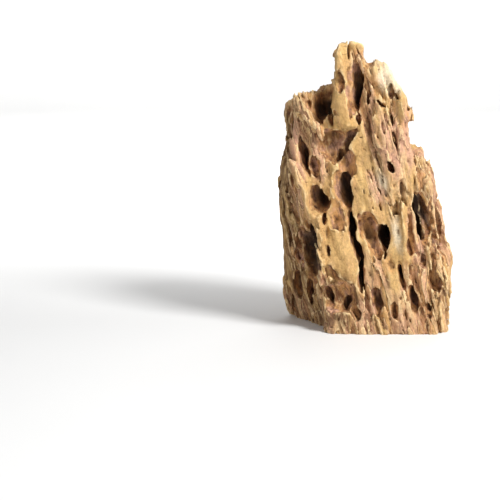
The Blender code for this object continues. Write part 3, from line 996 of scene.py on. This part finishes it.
@dataclass(frozen=True)
class Claystone:
    """Dry matt clay: tan skin, striped ridges, pale patches, pits of dark stain and painted shade.

    Its colours lie over each other in coats, and rises say how much there is of each.
    """

    tan: Colour = (0.50, 0.297, 0.106)
    ochre: Colour = (0.60, 0.38, 0.148)
    cream: Colour = (0.80, 0.585, 0.31)
    # partly bleaching, partly painted highlight
    bleach_and_highlight: Colour = (0.82, 0.70, 0.50)
    pink: Colour = (0.58, 0.32, 0.215)
    orange: Colour = (0.58, 0.30, 0.11)
    rust: Colour = (0.285, 0.122, 0.05)
    umber: Colour = (0.105, 0.042, 0.014)
    plum: Colour = (0.19, 0.098, 0.075)
    # painted shade: near-black for the deepest parts of the pits
    painted_deep_shade: Colour = (0.017, 0.007, 0.003)

    # Patterns
    wander: Wander = Wander(10, (0.9, 0.9, 1.6))
    patches: Noise = Noise(38, 3)
    hues: Noise = Noise(13)
    hue_stretch: float = 3.0
    stripes: Noise = Noise(5, 5, 0.7)
    streaks: Noise = Noise(2, 3, 0.6)
    stripe_stretch: float = 5.0
    fine: Noise = Noise(2.2, 4, 0.7)

    # Skin
    stripe_calm: float = 0.2  # the stripes' share on calm skin
    stripe_rough: float = 0.65
    sheet_share: float = 0.4
    tick_flatness: float = 5.0
    layer_blur: float = 0.35

    # Pits and crests
    depth_blur: float = 3.0
    hollow_blur: float = 0.8

    # Surface
    streak_shade: float = 0.6
    least_shade: float = 0.2
    smoothest: float = 0.72  # roughness
    roughness_range: float = 0.24
    specular: float = 0.35
    relief_mm: float = 1.8
    fibre_stretch: float = 8.0

    def material(self) -> bpy.types.Material:
        """Returns the clay's material."""
        material, graph, place = new_material(SLOT)
        marks = {
            mark: graph.add("ShaderNodeAttribute", output="Fac", attribute_name=mark.value)
            for mark in Mark
        }
        relief = {
            "Strength": 1.0,
            "Distance": self.relief_mm * MM,
            "Height": self.relief(place, marks),
        }
        roughness = place.noise(Noise(4, 3)) * self.roughness_range + self.smoothest
        shader = graph.add(
            "ShaderNodeBsdfPrincipled",
            {
                "Base Color": self.colour(place, marks),
                "Roughness": roughness.between(0.0, 1.0),
                "Specular IOR Level": self.specular,
                "Normal": graph.add("ShaderNodeBump", relief),
            },
        )
        graph.finish("ShaderNodeOutputMaterial", shader)
        return material

    def grained(self, place: Socket, stretch: float) -> Socket:
        """Returns the place in a space that is squeezed along the grain."""
        inputs = {"Vector": place, "Rotation": (0.0, math.radians(GRAIN_LEAN), 0.0)}
        turned = place.graph.add("ShaderNodeMapping", inputs)
        return turned.vector("MULTIPLY", (1.0, 1.0, 1.0 / stretch))

    def colour(self, place: Socket, marks: dict[Mark, Socket]) -> Socket:
        """Returns the clay's colour.

        Args:
            place: Object coordinates, in metres.
            marks: What is stored on the mesh.

        Returns:
            The colour.
        """
        wandered = place.wandered(self.wander)
        grain = self.grained(wandered, self.stripe_stretch)
        stripes, streaks = grain.noise(self.stripes), grain.noise(self.streaks)
        pattern = Pattern(place, marks, wandered, stripes, streaks, place.noise(self.fine))
        colour = self.eaten(self.stains_and_painted_light(self.skin(pattern), pattern), pattern)
        shade = pattern.fine + streaks * self.streak_shade + self.least_shade
        grey = place.graph.add("ShaderNodeCombineColor", (shade, shade, shade))
        return colour.mix(grey, 1.0, "MULTIPLY")

    def skin(self, pattern: Pattern) -> Socket:
        """Colours the skin: plain where it is calm, striped and in sheets where it is ridged.

        Args:
            pattern: The patterns at the place.

        Returns:
            The skin's colour, with painted shade and highlight at the layers' steps.
        """
        place, marks, stripes = pattern.place, pattern.marks, pattern.stripes
        graph = place.graph
        patches = place.noise(self.patches) + (pattern.streaks - 0.5) * 0.5
        light = ((0.37, self.rust), (0.45, self.tan), (0.54, self.ochre), (0.64, self.cream))
        warm = ((0.36, self.umber), (0.43, self.rust), (0.5, self.pink), (0.58, self.orange))
        warm = graph.ramp(stripes, (*warm, (0.67, self.cream)))
        hue = Rise(0.42, 0.58).of(self.grained(pattern.wandered, self.hue_stretch).noise(self.hues))
        stripe = graph.ramp(stripes, light).mix(warm, hue)
        layer = marks[Mark.LAYER] + (pattern.fine - 0.5) * self.layer_blur
        which = {"W": layer.maths("FLOOR")}
        sort = graph.add("ShaderNodeTexWhiteNoise", which, noise_dimensions="1D")
        sheet = ((0.1, self.tan), (0.3, self.ochre), (0.5, self.pink), (0.7, self.cream))
        sheet = graph.ramp(sort, (*sheet, (0.9, self.orange)))
        ridged = Rise(0.25, 0.8).of(marks[Mark.ROUGH])
        rest = layer.maths("FRACT")
        flat = place.vector("MULTIPLY", (1.0, 1.0, self.tick_flatness))
        tick = Rise(0.62, 0.7).of(flat.noise(Noise(7)))
        tick = tick * Rise(0.5, 0.6).of(place.noise(Noise(24, 1))) * Rise(0.6, 0.1, 0.6).of(ridged)
        colour = graph.ramp(patches, ((0.36, self.tan), (0.62, self.ochre)))
        coats = (
            (stripe, ridged * self.stripe_rough + self.stripe_calm),
            (sheet, ridged * self.sheet_share),
            (self.pink, marks[Mark.RUDDY] * Rise(0.68, 0.46, 0.8).of(stripes)),
            (self.umber, tick),
            # painted shade at the foot of each layer's step, and a painted highlight along its lip
            (self.umber, Rise(0.24, 0.1, 0.65).of(rest) * ridged),
            (self.cream, Rise(0.78, 0.95, 0.6).of(rest) * ridged),
        )
        return colour.coated(coats)

    def stains_and_painted_light(self, colour: Socket, pattern: Pattern) -> Socket:
        """Paints shade in furrows, stain and shade where brown, and bleach and highlight where pale.

        Args:
            colour: The skin's colour.
            pattern: The patterns at the place.

        Returns:
            The colour with stains and painted shade and highlight.
        """
        marks, stripes = pattern.marks, pattern.stripes
        coats = (
            # painted shade: rust darkens the furrows by how deep they sink
            (self.rust, Rise(0.9, 3.4).of(marks[Mark.TROUGH]) * Rise(0.65, 0.45, 0.6).of(stripes)),
            # partly stain, partly painted shade: umber on the left side and low down
            (self.umber, marks[Mark.BROWN] * Rise(0.72, 0.4, 0.8).of(stripes)),
            # partly bleaching, partly painted highlight: the pale patches
            (self.bleach_and_highlight, marks[Mark.PALE] * Rise(0.25, 0.5, 0.8).of(stripes)),
        )
        return colour.coated(coats)

    def eaten(self, colour: Socket, pattern: Pattern) -> Socket:
        """Colours pits by depth; paints shade into deep pits and hollows, highlight onto crests.

        Args:
            colour: The skin's colour.
            pattern: The patterns at the place.

        Returns:
            The colour of skin, pits and crests, with painted shade and highlight.
        """
        place, marks, stripes = pattern.place, pattern.marks, pattern.stripes
        walls = ((0.38, self.rust), (0.5, self.orange), (0.62, self.pink))
        pit = place.graph.ramp(place.noise(Noise(13, 3)), walls)
        lines = stripes * 0.55 + pattern.streaks * 0.45
        pit = pit.mix(self.plum, Rise(0.5, 0.4, 0.75).of(lines))
        pit = pit.mix(self.cream, Rise(0.53, 0.64, 0.6).of(lines))
        depth = marks[Mark.DEPTH] + (pattern.fine - 0.5) * self.depth_blur
        hollow = marks[Mark.CREST] + (pattern.fine - 0.5) * self.hollow_blur
        coats = (
            (pit, Rise(1.6, 4.5, 0.9).of(depth)),
            (self.orange, marks[Mark.WARM] * Rise(0.4, 0.52, 0.7).of(stripes)),
            # painted shade: the deepest parts of the pits turn near-black
            (self.painted_deep_shade, Rise(6, 15, 0.96).of(depth)),
            # painted shade: umber in the finest hollows, where a point sinks below its surroundings
            (self.umber, Rise(-0.15, -0.8, 0.85).of(hollow)),
            # painted highlight: cream along the crests that stand out
            (self.cream, Rise(0.3, 0.85, 0.8).of(marks[Mark.CREST]) * Rise(0.36, 0.5).of(stripes)),
        )
        return colour.coated(coats)

    def relief(self, place: Socket, marks: dict[Mark, Socket]) -> Socket:
        """Returns the fine relief of the clay, from 0 to about 1."""
        grain = self.grained(place.wandered(self.wander), self.fibre_stretch)
        fibres = grain.noise(Noise(2.2, 3, 0.6))
        return place.noise(Noise(1.8, 4, 0.6)) * 0.5 + fibres * (marks[Mark.ROUGH] * 0.5 + 0.25)


# The studio


@dataclass(frozen=True)
class Floor:
    """A pale round floor whose rim curves up all round."""

    flat_radius: float = 2.6
    sweep_radius: float = 0.8
    sweep_steps: int = 12
    steps: int = 96
    weld: float = 1e-4
    roughness: float = 0.9
    mottle: Noise = Noise(200)
    tone: Colour = (0.86, 0.86, 0.855)
    shade: float = 0.985  # of the tone, in the mottling's darker spots

    def profile(self) -> list[tuple[float, float]]:
        """Returns the radius and height of the points along the floor's profile."""
        steps, flat, sweep = self.sweep_steps, self.flat_radius, self.sweep_radius
        angles = [math.radians(90 * step / steps) for step in range(1, steps + 1)]
        curve = [(flat + sweep * math.sin(a), sweep * (1 - math.cos(a))) for a in angles]
        return [(0.0, 0.0), (flat, 0.0), *curve]

    def build(self) -> bpy.types.Object:
        """Returns the floor."""
        shape = bmesh.new()
        points = [shape.verts.new((radius, 0.0, height)) for radius, height in self.profile()]
        edges = [shape.edges.new(pair) for pair in zip(points, points[1:])]
        bmesh.ops.spin(
            shape,
            geom=[*points, *edges],
            cent=(0, 0, 0),
            axis=(0, 0, 1),
            angle=math.tau,
            steps=self.steps,
            use_merge=True,
        )
        bmesh.ops.remove_doubles(shape, verts=shape.verts[:], dist=self.weld)
        bmesh.ops.recalc_face_normals(shape, faces=shape.faces[:])
        mesh = bpy.data.meshes.new("studio_floor")
        shape.to_mesh(mesh)
        shape.free()
        mesh.shade_smooth()
        mesh.materials.append(self.material())
        floor = linked("studio_floor", mesh)
        return floor

    def material(self) -> bpy.types.Material:
        """Returns the floor's matt paint, with the faintest mottling."""
        material, graph, place = new_material("studio_floor")
        darker = tuple(c * self.shade for c in self.tone)
        paint = graph.ramp(place.noise(self.mottle), ((0.3, self.tone), (0.7, darker)))
        inputs = {"Base Color": paint, "Roughness": self.roughness}
        shader = graph.add("ShaderNodeBsdfPrincipled", inputs)
        graph.finish("ShaderNodeOutputMaterial", shader)
        return material


@dataclass(frozen=True)
class Lamp:
    """A square soft light, sized and placed in metres."""

    name: str
    place: Triple
    size: float
    power: float

    def build(self, target: Vector) -> bpy.types.Object:
        """Builds the light.

        Args:
            target: What it looks at.

        Returns:
            The light, turned to the target.
        """
        data = bpy.data.lights.new(self.name, "AREA")
        data.size = self.size
        data.energy = self.power
        lamp = linked(self.name, data)
        lamp.location = self.place
        lamp.rotation_mode = "QUATERNION"
        lamp.rotation_quaternion = (target - Vector(self.place)).to_track_quat("-Z", "Y")
        return lamp


@dataclass(frozen=True)
class Studio:
    """The floor, the lights, the surrounding light and the camera, in metres."""

    lamps: tuple[Lamp, ...] = (
        Lamp("key", (0.75, -0.75, 1.00), 0.40, 24.0),
        Lamp("fill", (-0.90, -0.70, 0.50), 0.80, 1.5),
        Lamp("back_fill", (0.20, 1.10, 0.90), 0.90, 5.0),
    )
    backdrop: Lamp = Lamp("backdrop", (0.0, 0.9, 1.6), 1.2, 60.0)
    backdrop_lights: Triple = (0.0, 3.2, 0.3)
    surround: float = 0.3
    focal_mm: float = 100.0
    sensor_mm: float = 36.0
    looks_down: float = 10.0  # degrees
    looks_at: Triple = (-0.1017, -0.042, 0.0733)
    distance: float = 1.197

    def build(self, middle: Vector) -> None:
        """Builds the studio around the stone.

        Args:
            middle: The middle of the stone, which the lights look at.
        """
        Floor().build()
        for lamp in self.lamps:
            lamp.build(middle)
        self.backdrop.build(Vector(self.backdrop_lights))
        self.surround_light()
        self.camera()

    def surround_light(self) -> None:
        """Lights the studio evenly from all round."""
        world = bpy.data.worlds.new("surround")
        world.use_nodes = True
        background = world.node_tree.nodes["Background"]
        background.inputs["Color"].default_value = (1.0, 1.0, 1.0, 1.0)
        background.inputs["Strength"].default_value = self.surround
        bpy.context.scene.world = world
        bpy.context.scene.view_settings.view_transform = "Standard"

    def camera(self) -> None:
        """Sets up the camera."""
        data = bpy.data.cameras.new("camera")
        data.lens = self.focal_mm
        data.sensor_width = self.sensor_mm
        camera = linked("camera", data)
        angle = math.radians(self.looks_down)
        back = Vector((0.0, -math.cos(angle), math.sin(angle)))
        camera.location = Vector(self.looks_at) + back * self.distance
        camera.rotation_mode = "QUATERNION"
        camera.rotation_quaternion = (-back).to_track_quat("-Z", "Y")
        bpy.context.scene.camera = camera


def main() -> None:
    """Dresses the stone and builds the studio around it."""
    logging.basicConfig(level=logging.INFO, format="%(name)s: %(message)s")
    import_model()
    low, high = (Vector(corner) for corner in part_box(NODE))
    Stone().build()
    Studio().build((low + high) / 2)


if __name__ == "__main__":
    main()
